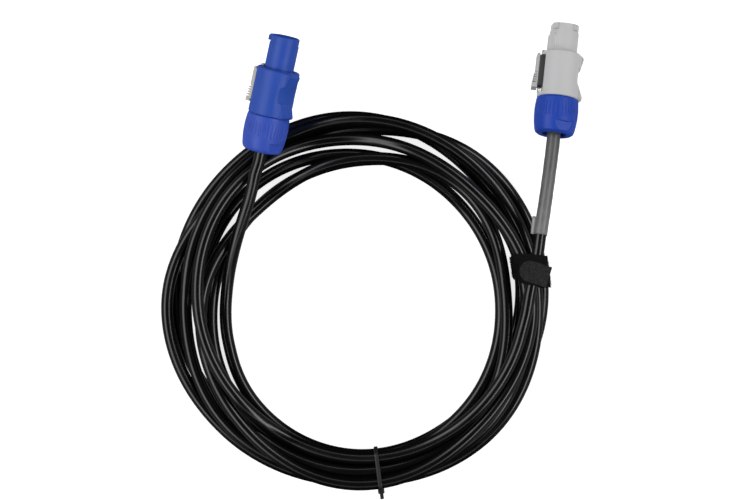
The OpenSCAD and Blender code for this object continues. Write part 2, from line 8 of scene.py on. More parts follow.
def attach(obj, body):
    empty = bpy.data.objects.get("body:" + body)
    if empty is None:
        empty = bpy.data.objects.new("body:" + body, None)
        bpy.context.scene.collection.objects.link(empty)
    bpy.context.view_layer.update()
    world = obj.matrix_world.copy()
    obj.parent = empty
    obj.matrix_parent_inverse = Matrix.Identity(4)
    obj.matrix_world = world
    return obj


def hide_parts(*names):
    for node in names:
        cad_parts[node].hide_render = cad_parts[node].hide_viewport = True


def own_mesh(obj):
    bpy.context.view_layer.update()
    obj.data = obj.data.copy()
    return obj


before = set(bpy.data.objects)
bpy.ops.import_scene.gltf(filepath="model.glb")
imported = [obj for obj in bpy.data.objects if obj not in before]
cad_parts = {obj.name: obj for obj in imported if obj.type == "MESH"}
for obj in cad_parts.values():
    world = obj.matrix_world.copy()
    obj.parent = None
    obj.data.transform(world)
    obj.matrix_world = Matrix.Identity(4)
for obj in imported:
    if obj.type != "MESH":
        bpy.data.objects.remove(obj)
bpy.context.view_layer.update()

# ---------------------------------------------------------------- view from above
# A camera on a boom, straight above the lead, with a long lens. It looks down at a
# point of the table inside the coil, and up in its view is the table's +Y.
scene = bpy.context.scene
scene.view_settings.view_transform = "Standard"
boom_foot = (-0.0255, -0.1055)
boom_height = 1.665
boom_camera = bpy.data.cameras.new("boom_camera")
boom_camera.sensor_width = 36.0
boom_camera.lens = 121.2
boom_camera.clip_start = 0.05
boom = bpy.data.objects.new("boom_camera", boom_camera)
boom.location = (*boom_foot, boom_height)
scene.collection.objects.link(boom)
scene.camera = boom

# ---------------------------------------------------------------- the cable
# Three-core flexible mains cable in a round, glossy black PVC jacket, 8 mm across.
# It is thrown into a loose coil by hand: out, back in and out again, each strand
# resting on the table or in the hollow between the strands laid before it.
cable_d = 0.008
strand_pitch = cable_d + 0.00056
coil_centre = (-0.0379, -0.1382)
coil_from, coil_to = 205, 2870
lap_step = 45
lap_radii = [
    0.0860, 0.0860, 0.0860, 0.0860, 0.0847, 0.0950, 0.1020, 0.1030,
    0.1083, 0.1125, 0.1200, 0.1193, 0.1186, 0.1130, 0.1107, 0.1145,
    0.1225, 0.1225, 0.1113, 0.1096, 0.1235, 0.1215, 0.1193, 0.1240,
    0.1185, 0.1170, 0.1180, 0.1136, 0.1115, 0.1173, 0.1150, 0.1183,
    0.1115, 0.1045, 0.0915, 0.0885, 0.0945, 0.1037, 0.1055, 0.1013,
    0.0950, 0.0925, 0.0950, 0.1008, 0.1022, 0.1075, 0.1115, 0.1098,
    0.0980, 0.1006, 0.0920, 0.0875, 0.1003, 0.1085, 0.1193, 0.1142,
    0.1140, 0.1040, 0.1050, 0.1076, 0.1025, 0.0993, 0.1025, 0.1057,
    0.1100, 0.1140,
]
lay_step = 5
lays_a_turn = 360 // lay_step
lays = (coil_to - coil_from) // lay_step
rise_spread = 2
strap_angle, tie_angle = 10.0, 277.5
strap_thick, tie_thick = 0.0013, 0.0011
band_clear = 0.00035
lift_flat, lift_end = 10, 40


def lap_radius(degrees):
    """How far the strand lies from the coil's centre, on a smooth curve through the laps."""
    q = degrees / lap_step
    i = math.floor(q)
    t = q - i
    a, b, c, d = (lap_radii[max(0, min(len(lap_radii) - 1, k))] for k in (i - 1, i, i + 1, i + 2))
    return 0.5 * (2 * b + (c - a) * t + (2 * a - 5 * b + 4 * c - d) * t * t
                  + (3 * b - a - 3 * c + d) * t ** 3)


def lifted(degrees, at, height):
    """How far a band below lifts the strands there: its height at the band, then down to nothing."""
    away = abs((degrees - at + 900) % 360 - 180)
    if away <= lift_flat:
        return height
    if away >= lift_end:
        return 0.0
    return height * (0.5 + 0.5 * math.cos(math.pi * (away - lift_flat) / (lift_end - lift_flat)))


strand_radius = [lap_radius(coil_from + i * lay_step) for i in range(lays + 2 * rise_spread + 1)]
strand_height = []


def resting(i):
    """The lowest that the strand can lie at that step: on the table, a band or the strands below."""
    degrees = coil_from + i * lay_step
    low = max(lifted(degrees, strap_angle, strap_thick + band_clear),
              lifted(degrees, tie_angle, tie_thick + band_clear))
    for j in range(i - lays_a_turn, -1, -lays_a_turn):
        apart = abs(strand_radius[i] - strand_radius[j])
        if apart < strand_pitch:
            low = max(low, strand_height[j] + math.sqrt(strand_pitch ** 2 - apart ** 2))
    return low


for i in range(lays + 1):
    near = range(-rise_spread, rise_spread + 1)
    tops, weights = [], []
    for k in near:
        m = max(0, min(lays + 2 * rise_spread, i + k))
        tops.append(max(resting(max(0, min(lays + 2 * rise_spread, m + n))) for n in near))
        weights.append(rise_spread + 1 - abs(k))
    strand_height.append(sum(t * w for t, w in zip(tops, weights)) / sum(weights))


def coil_point(i):
    """The middle of the cable at that step of the coil."""
    a = math.radians(coil_from + i * lay_step)
    return Vector((coil_centre[0] + strand_radius[i] * math.cos(a),
                   coil_centre[1] + strand_radius[i] * math.sin(a),
                   strand_height[i] + cable_d / 2))


def connector_place(at, lean, tilt, roll):
    """The place of a connector, drawn along +Z, with its shell's front face at that point."""
    turn = (Matrix.Rotation(math.radians(-lean), 4, "Z")
            @ Matrix.Rotation(math.radians(tilt - 90), 4, "X")
            @ Matrix.Rotation(math.radians(roll), 4, "Z"))
    return Matrix.Translation(at) @ turn


shell_radius = 0.0138
inlet_place = connector_place((-0.0871, 0.0103, 0.0464), 12.8, 10, -35)
outlet_place = connector_place(
    (0.0969, 0.0222, shell_radius * math.cos(math.radians(10)) - 0.0001), 6.6, -10, 0)
jacket_end = -0.027
shell_end = -0.030
nut_end = -0.054
nut_mouth = nut_end - 0.009
inlet_stretch = [
    (-0.0650, 0.0820, 0.0345), (-0.0670, 0.0730, 0.0325), (-0.0695, 0.0640, 0.0300),
    (-0.0730, 0.0535, 0.0270), (-0.0765, 0.0430, 0.0235), (-0.0800, 0.0310, 0.0185),
    (-0.0830, 0.0180, 0.0130), (-0.0850, 0.0040, 0.0085), (-0.0858, -0.0090, 0.0057),
    (-0.0850, -0.0220, 0.0043)]
outlet_stretch = [
    (0.1100, -0.0085, 0.0369), (0.1120, 0.0030, 0.0373), (0.1142, 0.0140, 0.0365),
    (0.1164, 0.0240, 0.0351), (0.1180, 0.0335, 0.0337), (0.1195, 0.0440, 0.0322),
    (0.1216, 0.0570, 0.0304), (0.1239, 0.0720, 0.0284)]


def from_centre(p):
    """A point that is given from the coil's centre."""
    return Vector((coil_centre[0] + p[0], coil_centre[1] + p[1], p[2]))


def on_axis(place, *distances):
    """Points on a connector's axis, at those distances from its shell's front face."""
    return [place @ Vector((0, 0, z)) for z in distances]


inlet_marks = (on_axis(inlet_place, jacket_end, shell_end, nut_end + 0.004, nut_mouth)
               + [from_centre(p) for p in inlet_stretch])
coil_marks = [coil_point(i) for i in range(lays + 1)]
outlet_marks = ([from_centre(p) for p in outlet_stretch]
                + on_axis(outlet_place, nut_mouth, nut_end + 0.0025, shell_end, jacket_end))
cable_marks = inlet_marks + coil_marks + outlet_marks


def smooth_line(marks, spacing):
    """Points at about that spacing on one smooth curve through the marks."""
    line = []
    for i in range(len(marks) - 1):
        b, c = marks[i], marks[i + 1]
        a = marks[i - 1] if i > 0 else b * 2 - c
        d = marks[i + 2] if i + 2 < len(marks) else c * 2 - b
        t1 = (b - a).length ** 0.5
        t2 = t1 + (c - b).length ** 0.5
        t3 = t2 + (d - c).length ** 0.5
        steps = max(1, round((c - b).length / spacing))
        for s in range(steps):
            t = t1 + (t2 - t1) * s / steps
            ab = a * ((t1 - t) / t1) + b * (t / t1)
            bc = b * ((t2 - t) / (t2 - t1)) + c * ((t - t1) / (t2 - t1))
            cd = c * ((t3 - t) / (t3 - t2)) + d * ((t - t2) / (t3 - t2))
            abc = ab * ((t2 - t) / t2) + bc * (t / t2)
            bcd = bc * ((t3 - t) / (t3 - t1)) + cd * ((t - t1) / (t3 - t1))
            line.append(abc * ((t2 - t) / (t2 - t1)) + bcd * ((t - t1) / (t2 - t1)))
    line.append(marks[-1].copy())
    return line


def sides_along(line):
    """Each point of a line with the two directions across it, which turn as little as they can."""
    side = None
    for i, p in enumerate(line):
        ahead = (line[min(i + 1, len(line) - 1)] - line[max(i - 1, 0)]).normalized()
        if side is None:
            side = ahead.cross(Vector((0, 0, 1))).normalized()
        side = (side - ahead * side.dot(ahead)).normalized()
        yield i, p, side, side.cross(ahead)


def piece_from(shape, name, *materials):
    """The finished shape as an object of its own at the origin."""
    mesh = bpy.data.meshes.new(name)
    shape.to_mesh(mesh)
    shape.free()
    for material in materials:
        mesh.materials.append(material)
    piece = bpy.data.objects.new(name, mesh)
    scene.collection.objects.link(piece)
    return piece


def tube_piece(name, line, radius, sides):
    """Closed round tube along a line."""
    shape = bmesh.new()
    rings = []
    for _, p, side, up in sides_along(line):
        rings.append([shape.verts.new(p + side * (radius * math.cos(2 * math.pi * k / sides))
                                      + up * (radius * math.sin(2 * math.pi * k / sides)))
                      for k in range(sides)])
    for a, b in zip(rings, rings[1:]):
        for k in range(sides):
            n = (k + 1) % sides
            shape.faces.new((a[k], a[n], b[n], b[k])).smooth = True
    shape.faces.new(list(reversed(rings[0])))
    shape.faces.new(rings[-1])
    bmesh.ops.recalc_face_normals(shape, faces=shape.faces)
    return piece_from(shape, name)


cable_line = smooth_line(cable_marks, 0.0026)
cable = tube_piece("mains_cable", cable_line, cable_d / 2, 16)


def group_with(name, inputs, outputs):
    """An empty shader group with its named inputs and outputs."""
    group = bpy.data.node_groups.new(name, "ShaderNodeTree")
    for label, kind, value in inputs:
        socket = group.interface.new_socket(label, in_out="INPUT", socket_type=kind)
        socket.default_value = value
    for label, kind in outputs:
        group.interface.new_socket(label, in_out="OUTPUT", socket_type=kind)
    return group, group.nodes.new("NodeGroupInput"), group.nodes.new("NodeGroupOutput")


def node_in(tree, kind, links=(), **settings):
    """A node of that tree, with its settings, and its inputs linked or set."""
    node = tree.nodes.new(kind)
    for name, value in settings.items():
        setattr(node, name, value)
    for name, value in links:
        if isinstance(value, bpy.types.NodeSocket):
            tree.links.new(value, node.inputs[name])
        else:
            node.inputs[name].default_value = value
    return node


# handling marks: a soft mottle of the colour, a duller or shinier skin, and a fine relief
marks, given, handed = group_with(
    "handling_marks",
    [("Colour", "NodeSocketColor", (0.5, 0.5, 0.5, 1)), ("Roughness", "NodeSocketFloat", 0.4),
     ("Mottle", "NodeSocketFloat", 0.08), ("Grain size", "NodeSocketFloat", 2500.0),
     ("Patch size", "NodeSocketFloat", 90.0)],
    [("Colour", "NodeSocketColor"), ("Roughness", "NodeSocketFloat"), ("Relief", "NodeSocketFloat")])
spot = node_in(marks, "ShaderNodeTexCoord").outputs["Object"]
grain = node_in(marks, "ShaderNodeTexNoise", [
    ("Vector", spot), ("Scale", given.outputs["Grain size"]), ("Detail", 2.0)])
patch = node_in(marks, "ShaderNodeTexNoise", [
    ("Vector", spot), ("Scale", given.outputs["Patch size"]), ("Detail", 3.0)])
centred = node_in(marks, "ShaderNodeMath", [
    (0, patch.outputs["Fac"]), (1, 0.5)], operation="SUBTRACT")
strength = node_in(marks, "ShaderNodeMath", [
    (0, centred.outputs[0]), (1, given.outputs["Mottle"]), (2, 1.0)], operation="MULTIPLY_ADD")
tinted = node_in(marks, "ShaderNodeVectorMath", [
    (0, given.outputs["Colour"]), ("Scale", strength.outputs[0])], operation="SCALE")
dulled = node_in(marks, "ShaderNodeMath", [
    (0, centred.outputs[0]), (1, 0.25), (2, given.outputs["Roughness"])], operation="MULTIPLY_ADD")
for label, value in (("Colour", tinted.outputs["Vector"]), ("Roughness", dulled.outputs[0]),
                     ("Relief", grain.outputs["Fac"])):
    marks.links.new(value, handed.inputs[label])


def finish_of(name, colour, roughness, mottle=0.3, grain=2500.0, patch=90.0, relief=0.05, deep=0.0001,
              specular=0.5, metallic=0.0):
    """A material whose skin is the handling marks' group, with its own values."""
    material = bpy.data.materials.new(name)
    material.use_nodes = True
    tree = material.node_tree
    skin = tree.nodes["Principled BSDF"]
    skin.inputs["Specular IOR Level"].default_value = specular
    skin.inputs["Metallic"].default_value = metallic
    worn = node_in(tree, "ShaderNodeGroup", [
        ("Colour", (*colour, 1)), ("Roughness", roughness), ("Mottle", mottle),
        ("Grain size", grain), ("Patch size", patch)], node_tree=marks, name="worn skin")
    bump = node_in(tree, "ShaderNodeBump", [
        ("Strength", relief), ("Distance", deep), ("Height", worn.outputs["Relief"])])
    tree.links.new(worn.outputs["Colour"], skin.inputs["Base Color"])
    tree.links.new(worn.outputs["Roughness"], skin.inputs["Roughness"])
    tree.links.new(bump.outputs["Normal"], skin.inputs["Normal"])
    material.diffuse_color = (*colour, 1)
    return material


cable.data.materials.append(finish_of("glossy_black_jacket", (0.0022, 0.0022, 0.0024), 0.21, 0.5,
                                      grain=1400.0, patch=45.0))
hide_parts("cord_coil", "cord_inlet_end", "cord_outlet_end")
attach(cable, "lead")

# ---------------------------------------------------------------- heat-shrink sleeve
# Smoky see-through sleeve, shrunk on the cable behind the grey connector. It runs
# into the ring nut's mouth, and its pinched seam leaves a small flap at the lower end.
sleeve_bore = cable_d / 2 + 0.00004
sleeve_wall = 0.00035
sleeve_oval, sleeve_ripple = 0.00003, 0.00004
sleeve_step, steps_left_bare = 0.0016, 6
sleeve_start = len(inlet_marks) + len(coil_marks) + 4
sleeve_marks = cable_marks[sleeve_start:sleeve_start + 6]
sleeve_line = smooth_line(sleeve_marks, sleeve_step)[steps_left_bare:]


def sleeve_piece(name, line, inner, outer, sides):
    """Open sleeve: a slightly wavy outer skin and an inner one, joined at both ends."""
    shape = bmesh.new()
    skins = []
    for radius in (outer, inner):
        rings = []
        for i, p, side, up in sides_along(line):
            ring = []
            for k in range(sides):
                a = 2 * math.pi * k / sides
                wave = (sleeve_oval * math.sin(2 * a + i * 0.21)
                        + sleeve_ripple * math.sin(i * 0.9))
                r = radius + (wave if radius == outer else 0)
                ring.append(shape.verts.new(p + side * (r * math.cos(a)) + up * (r * math.sin(a))))
            rings.append(ring)
        skins.append(rings)
    bridges = [(a, b, True) for rings in skins for a, b in zip(rings, rings[1:])]
    bridges += [(skins[0][end], skins[1][end], False) for end in (0, -1)]
    for a, b, smooth in bridges:
        for k in range(sides):
            n = (k + 1) % sides
            shape.faces.new((a[k], a[n], b[n], b[k])).smooth = smooth
    bmesh.ops.recalc_face_normals(shape, faces=shape.faces)
    return piece_from(shape, name)


sleeve = sleeve_piece("shrink_sleeve", sleeve_line, sleeve_bore, sleeve_bore + sleeve_wall, 32)
smoky = finish_of("smoky_shrink_sleeve", (0.125, 0.125, 0.125), 0.36, 0.55,
                  grain=900.0, patch=150.0, relief=0.10)
# drawn paler towards its lower end and darker towards its upper end, where it runs into the ring nut
smoky_tree = smoky.node_tree
sleeve_spot = node_in(smoky_tree, "ShaderNodeTexCoord")
sleeve_axes = node_in(smoky_tree, "ShaderNodeSeparateXYZ", [(0, sleeve_spot.outputs["Object"])])
sleeve_run = node_in(smoky_tree, "ShaderNodeMapRange", [
    ("Value", sleeve_axes.outputs["Y"]), ("From Min", -0.094), ("From Max", -0.035)])
sleeve_tone = node_in(smoky_tree, "ShaderNodeMix", data_type="RGBA")
sleeve_tone.inputs["A"].default_value = (0.155, 0.155, 0.153, 1)
sleeve_tone.inputs["B"].default_value = (0.085, 0.085, 0.086, 1)
smoky_tree.links.new(sleeve_run.outputs["Result"], sleeve_tone.inputs["Factor"])
smoky_tree.links.new(sleeve_tone.outputs["Result"], smoky_tree.nodes["worn skin"].inputs["Colour"])
sleeve.data.materials.append(smoky)
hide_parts("heat_shrink")
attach(sleeve, "lead")

# the flap: a strip of film out of the sleeve's side, drooping and a little wider upwards
flap_steps, flap_reach, flap_film = 8, 0.0026, 0.0004
flap_gap, flap_lift, flap_droop = 0.0001, 0.0006, 0.0008
flap_shape = bmesh.new()
flap_rows = []
for i in range(flap_steps):
    p = sleeve_line[i]
    ahead = (sleeve_line[i + 1] - p).normalized()
    left = Vector((0, 0, 1)).cross(ahead).normalized()
    reach = flap_reach * (0.8 + 0.03 * i)
    root = p + left * (cable_d / 2 + flap_gap) + Vector((0, 0, flap_lift))
    flap_rows.append([
        flap_shape.verts.new(root + left * (reach * f) - Vector((0, 0, flap_droop * f * f)))
        for f in (0.0, 0.35, 0.7, 1.0)])
for a, b in zip(flap_rows, flap_rows[1:]):
    for k in range(len(a) - 1):
        flap_shape.faces.new((a[k], a[k + 1], b[k + 1], b[k])).smooth = True
flap = piece_from(flap_shape, "sleeve_flap",
                  finish_of("pinched_clear_film", (0.29, 0.29, 0.29), 0.3))
flap_wall = flap.modifiers.new("wall", "SOLIDIFY")
flap_wall.thickness = flap_film
flap_wall.offset = 0
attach(flap, "lead")

# ---------------------------------------------------------------- hook-and-loop strap
# A black hook-and-loop cable strap round the outer strands and the grey end's cable.
# The wide hook side hugs the bundle, and the narrower looped end closes on top of it.
strap_middle = Vector((0.0750, -0.1180, 0.0))
strap_heading = math.radians(-8.0)
strap_across = Vector((math.cos(strap_heading), math.sin(strap_heading), 0))
strap_along = Vector((-math.sin(strap_heading), math.cos(strap_heading), 0))


def crossings(middle, across, along, window, line):
    """Where the cable passes the upright plane through the middle, as (index, offset, height)."""
    found = []
    for i in range(len(line) - 1):
        a, b = line[i] - middle, line[i + 1] - middle
        da, db = a.dot(along), b.dot(along)
        if (da < 0) != (db < 0):
            t = da / (da - db)
            offset = a.dot(across) * (1 - t) + b.dot(across) * t
            if window[0] < offset < window[1]:
                found.append((i, offset, line[i].z * (1 - t) + line[i + 1].z * t))
    return found


def hull_round(discs, radius, centre, points, disc_points=40):
    """Points on the tight loop round equal discs, at even turns about that centre."""
    dots = []
    for x, y in discs:
        for k in range(disc_points):
            a = 2 * math.pi * k / disc_points
            dots.append((x + radius * math.cos(a), y + radius * math.sin(a)))
    dots.sort()

    def chain(row):
        out = []
        for q in row:
            while len(out) > 1 and ((out[-1][0] - out[-2][0]) * (q[1] - out[-2][1])
                                    - (out[-1][1] - out[-2][1]) * (q[0] - out[-2][0])) <= 0:
                out.pop()
            out.append(q)
        return out[:-1]

    loop = chain(dots) + chain(dots[::-1])
    even = []
    for n in range(points):
        a = 2 * math.pi * n / points
        ux, uz = math.cos(a), math.sin(a)
        for (px, pz), (qx, qz) in zip(loop, loop[1:] + loop[:1]):
            f = (px - centre[0]) * uz - (pz - centre[1]) * ux
            g = (qx - centre[0]) * uz - (qz - centre[1]) * ux
            if f * g <= 0 and f != g:
                x, z = px + (qx - px) * f / (f - g), pz + (qz - pz) * f / (f - g)
                if (x - centre[0]) * ux + (z - centre[1]) * uz > 0:
                    even.append((x, z))
                    break
    return even


def band_round(name, middle, across, along, window, line, half_width, stations, clear, points,
               waist=1.0, shoulder=0.01):
    """A band that hugs the strands in the plane's window, station by station across its width.
    On its inner side it narrows to the waist, over the shoulder's length."""
    held = crossings(middle, across, along, window, line)
    centre = (sum(o for _, o, _ in held) / len(held), sum(h for _, _, h in held) / len(held))
    hulls, rows = [], []
    for s in range(stations):
        w = half_width * (2 * s / (stations - 1) - 1)
        discs = []
        for i, _, _ in held:
            best = min(range(max(0, i - 12), min(len(line), i + 13)),
                       key=lambda k: abs((line[k] - middle).dot(along) - w))
            discs.append(((line[best] - middle).dot(across), line[best].z))
        hulls.append(hull_round(discs, cable_d / 2 + clear, centre, points))
    middle_hull = hulls[stations // 2]
    innermost = min(x for x, _ in middle_hull)
    shape = bmesh.new()
    for s in range(stations):
        row = []
        for k in range(points):
            near = min(1.0, max(0.0, (middle_hull[k][0] - innermost) / shoulder))
            narrowed = waist + (1 - waist) * math.sqrt(1 - (1 - near) ** 2)
            at = (stations - 1) / 2 + (s - (stations - 1) / 2) * narrowed
            b = min(stations - 2, int(at))
            (x0, z0), (x1, z1) = hulls[b][k], hulls[b + 1][k]
            x, z = x0 + (x1 - x0) * (at - b), z0 + (z1 - z0) * (at - b)
            w = half_width * (2 * at / (stations - 1) - 1)
            row.append(shape.verts.new(middle + along * w + across * x + Vector((0, 0, z))))
        rows.append(row)
    for a, b in zip(rows, rows[1:]):
        for k in range(points):
            n = (k + 1) % points
            shape.faces.new((a[k], a[n], b[n], b[k])).smooth = True
    bmesh.ops.recalc_face_normals(shape, faces=shape.faces)
    return piece_from(shape, name), max(o for _, o, _ in held), max(h for _, _, h in held)


def give_body(piece, thickness, offset, edge):
    """A cloth's or band's thickness, and its rounded edges."""
    wall = piece.modifiers.new("wall", "SOLIDIFY")
    wall.thickness = thickness
    wall.offset = offset
    rounding = piece.modifiers.new("edge", "BEVEL")
    rounding.width = edge
    rounding.segments = 2


strap_loop, _, strap_high = band_round(
    "strap_loop", strap_middle, strap_across, strap_along, (-0.0125, 0.019), cable_line,
    half_width=0.0100, stations=9, clear=0.00085, points=120, waist=0.5, shoulder=0.010)
give_body(strap_loop, 0.0011, 0, 0.0003)

# the closing end: flat on top of the loop, folded over its right side, round at its tip
end_tip = Vector((0.0685, -0.1173, 0))
end_fold = Vector((0.0836, -0.1222, 0))
end_way = (end_fold - end_tip).normalized()
end_side = Vector((-end_way.y, end_way.x, 0))
end_half = 0.0067
end_length = (end_fold - end_tip).length
loop_top, hook_room = 0.0017, 0.0013
end_level = strap_high + cable_d / 2 + loop_top + hook_room
end_before = 0.0008
fold_round, fold_turn = 0.0034, math.radians(84)
drop_out, drop_down = 0.0002, 0.0021
edge_droop, ruffle = 0.00035, 0.00012
least_half = 0.0006
flat_steps, fold_steps, drop_steps = 22, 8, 4
end_profile = [(end_length * k / flat_steps - end_before, 0.0) for k in range(flat_steps + 1)]
for k in range(1, fold_steps + 1):
    a = fold_turn * k / fold_steps
    end_profile.append((end_length - end_before + fold_round * math.sin(a),
                        -fold_round * (1 - math.cos(a))))
last_x, last_z = end_profile[-1]
for k in range(1, drop_steps + 1):
    end_profile.append((last_x + drop_out * k, last_z - drop_down * k))
end_shape = bmesh.new()
end_rows = []
cells = 12
for x, z in end_profile:
    from_tip = x + end_before
    half_here = end_half
    if from_tip < end_half:
        half_here = math.sqrt(max(0.0, end_half ** 2 - (end_half - from_tip) ** 2))
    half_here = max(half_here, least_half)
    row = []
    for c in range(cells + 1):
        y = half_here * (2 * c / cells - 1)
        sag = -edge_droop * (abs(y) / end_half) ** 2 + ruffle * math.sin(x * 900 + y * 400)
        row.append(end_shape.verts.new(
            end_tip + end_way * x + end_side * y + Vector((0, 0, end_level + z + sag))))
    end_rows.append(row)
for a, b in zip(end_rows, end_rows[1:]):
    for k in range(cells):
        end_shape.faces.new((a[k], b[k], b[k + 1], a[k + 1])).smooth = True
bmesh.ops.recalc_face_normals(end_shape, faces=end_shape.faces)
strap_end = piece_from(end_shape, "strap_end")
give_body(strap_end, 0.0014, -1, 0.0004)

hook_cloth = finish_of("hook_side_nylon", (0.0036, 0.0036, 0.0038), 0.75, 0.5,
                       grain=3200.0, patch=300.0, relief=0.6, deep=0.0003, specular=0.12)
pile_cloth = finish_of("looped_nylon_pile", (0.034, 0.034, 0.0345), 0.95, 2.2,
                       grain=2600.0, patch=700.0, relief=0.9, deep=0.0005, specular=0.15)
pile_skin = pile_cloth.node_tree.nodes["Principled BSDF"]
pile_skin.inputs["Sheen Weight"].default_value = 0.05
pile_skin.inputs["Sheen Roughness"].default_value = 0.5
strap_loop.data.materials.append(hook_cloth)
strap_end.data.materials.append(pile_cloth)

# hooks on the loop's outer face and fine loops on the closing end, one thread each
threads = bpy.data.node_groups.new("nylon_threads", "GeometryNodeTree")
for label, kind, value in (
        ("Cloth", "NodeSocketGeometry", None), ("Per square metre", "NodeSocketFloat", 1.5e6),
        ("Height", "NodeSocketFloat", 0.0009), ("Reach", "NodeSocketFloat", 0.0004),
        ("Tip height", "NodeSocketFloat", 0.0006), ("Thread radius", "NodeSocketFloat", 0.00006),
        ("Tilt", "NodeSocketFloat", 0.4), ("Lowest", "NodeSocketFloat", 0.003),
        ("Seed", "NodeSocketInt", 7), ("Nylon", "NodeSocketMaterial", None)):
    socket = threads.interface.new_socket(label, in_out="INPUT", socket_type=kind)
    if value is not None:
        socket.default_value = value
threads.interface.new_socket("Threads", in_out="OUTPUT", socket_type="NodeSocketGeometry")

wanted = threads.nodes.new("NodeGroupInput").outputs
here = node_in(threads, "GeometryNodeInputPosition")
thread_place = node_in(threads, "ShaderNodeSeparateXYZ", [(0, here.outputs[0])])
high_enough = node_in(threads, "FunctionNodeCompare", [
    ("A", thread_place.outputs["Z"]), ("B", wanted["Lowest"])],
    data_type="FLOAT", operation="GREATER_THAN")
sown = node_in(threads, "GeometryNodeDistributePointsOnFaces", [
    ("Mesh", wanted["Cloth"]), ("Selection", high_enough.outputs[0]),
    ("Density", wanted["Per square metre"]), ("Seed", wanted["Seed"])])
bend = node_in(threads, "ShaderNodeCombineXYZ", [("Z", wanted["Height"])])
tip = node_in(threads, "ShaderNodeCombineXYZ", [
    ("X", wanted["Reach"]), ("Z", wanted["Tip height"])])
path = node_in(threads, "GeometryNodeCurveQuadraticBezier", [
    ("Resolution", 4), ("Start", (0, 0, 0)), ("Middle", bend.outputs[0]), ("End", tip.outputs[0])])
section = node_in(threads, "GeometryNodeCurvePrimitiveCircle", [
    ("Resolution", 3), ("Radius", wanted["Thread radius"])])
thread = node_in(threads, "GeometryNodeCurveToMesh", [
    ("Curve", path.outputs[0]), ("Profile Curve", section.outputs[0]), ("Fill Caps", True)])
tilt_down = node_in(threads, "ShaderNodeMath", [(0, wanted["Tilt"]), (1, -1.0)], operation="MULTIPLY")
least_turn = node_in(threads, "ShaderNodeCombineXYZ", [
    ("X", tilt_down.outputs[0]), ("Y", tilt_down.outputs[0])])
most_turn = node_in(threads, "ShaderNodeCombineXYZ", [
    ("X", wanted["Tilt"]), ("Y", wanted["Tilt"]), ("Z", 6.2832)])
any_turn = node_in(threads, "FunctionNodeRandomValue", [
    ("Min", least_turn.outputs[0]), ("Max", most_turn.outputs[0]), ("Seed", wanted["Seed"])],
    data_type="FLOAT_VECTOR")
own_turn = node_in(threads, "FunctionNodeEulerToRotation", [("Euler", any_turn.outputs[0])])
stood = node_in(threads, "FunctionNodeRotateRotation", [
    ("Rotation", sown.outputs["Rotation"]), ("Rotate By", own_turn.outputs[0])],
    rotation_space="LOCAL")
planted = node_in(threads, "GeometryNodeInstanceOnPoints", [
    ("Points", sown.outputs["Points"]), ("Instance", thread.outputs[0]),
    ("Rotation", stood.outputs[0])])
whole = node_in(threads, "GeometryNodeRealizeInstances", [("Geometry", planted.outputs[0])])
dressed = node_in(threads, "GeometryNodeSetMaterial", [
    ("Geometry", whole.outputs[0]), ("Material", wanted["Nylon"])])
threads.links.new(dressed.outputs[0], threads.nodes.new("NodeGroupOutput").inputs["Threads"])


def threads_on(name, bed_mesh, **values):
    """The threads that the tree grows on that cloth, as a plain mesh of their own."""
    bed = bpy.data.objects.new(name, bed_mesh)
    scene.collection.objects.link(bed)
    grow = bed.modifiers.new("threads", "NODES")
    grow.node_group = threads
    for socket in threads.interface.items_tree:
        if socket.in_out == "INPUT" and socket.name.replace(" ", "_") in values:
            grow[socket.identifier] = values[socket.name.replace(" ", "_")]
    graph = bpy.context.evaluated_depsgraph_get()
    grown = bpy.data.meshes.new_from_object(bed.evaluated_get(graph), depsgraph=graph)
    grown.name = name
    bed.modifiers.clear()
    bed.data = grown
    return bed


strap_hooks = threads_on(
    "strap_hooks", strap_loop.data.copy(), Per_square_metre=1.3e6, Height=0.0014, Reach=0.0005,
    Tip_height=0.0010, Thread_radius=0.00007, Tilt=0.6, Seed=3, Nylon=hook_cloth)
strap_pile = threads_on(
    "strap_pile", strap_end.data.copy(), Per_square_metre=9.0e6, Height=0.0005, Reach=0.0005,
    Tip_height=0.0, Thread_radius=0.00006, Tilt=0.5, Seed=5, Nylon=pile_cloth)
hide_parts("hook_loop_strap")
for piece in (strap_loop, strap_end, strap_hooks, strap_pile):
    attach(piece, "lead")

# ---------------------------------------------------------------- cable tie
# A nylon tie pulled tight round the whole bundle at the bottom of the coil, with its
# ratchet head and the cut end outside.
tie_way = math.radians(tie_angle)
tie_out = Vector((math.cos(tie_way), math.sin(tie_way), 0))
tie_along = Vector((-math.sin(tie_way), math.cos(tie_way), 0))
tie_from_centre = 0.108
tie_middle = Vector((*coil_centre, 0)) + tie_out * tie_from_centre
tie_band, tie_reach, _ = band_round(
    "tie_band", tie_middle, tie_out, tie_along, (-0.022, 0.022), cable_line,
    half_width=0.00125, stations=3, clear=0.0007, points=140)
give_body(tie_band, 0.0010, 0, 0.00025)
tie_far = tie_reach + cable_d / 2 + 0.0010
tie_level = 0.012


def rounded_block(shape, place, size, ease):
    """A block with rounded edges, added to the shape at that place matrix."""
    made = bmesh.ops.create_cube(shape, size=1.0)["verts"]
    bmesh.ops.scale(shape, vec=size, verts=made)
    edges = {e for v in made for e in v.link_edges}
    made = bmesh.ops.bevel(shape, geom=list(edges), offset=ease, segments=3, profile=0.5,
                           affect="EDGES", clamp_overlap=True)["verts"]
    bmesh.ops.transform(shape, matrix=place, verts=list(set(made)))


def head_place(out):
    """A place beyond the band's far side, turned as the tie is."""
    turn = Matrix(((tie_out.x, tie_along.x, 0, 0), (tie_out.y, tie_along.y, 0, 0),
                   (0, 0, 1, 0), (0, 0, 0, 1)))
    at = tie_middle + tie_out * (tie_far + out) + Vector((0, 0, tie_level))
    return Matrix.Translation(at) @ turn


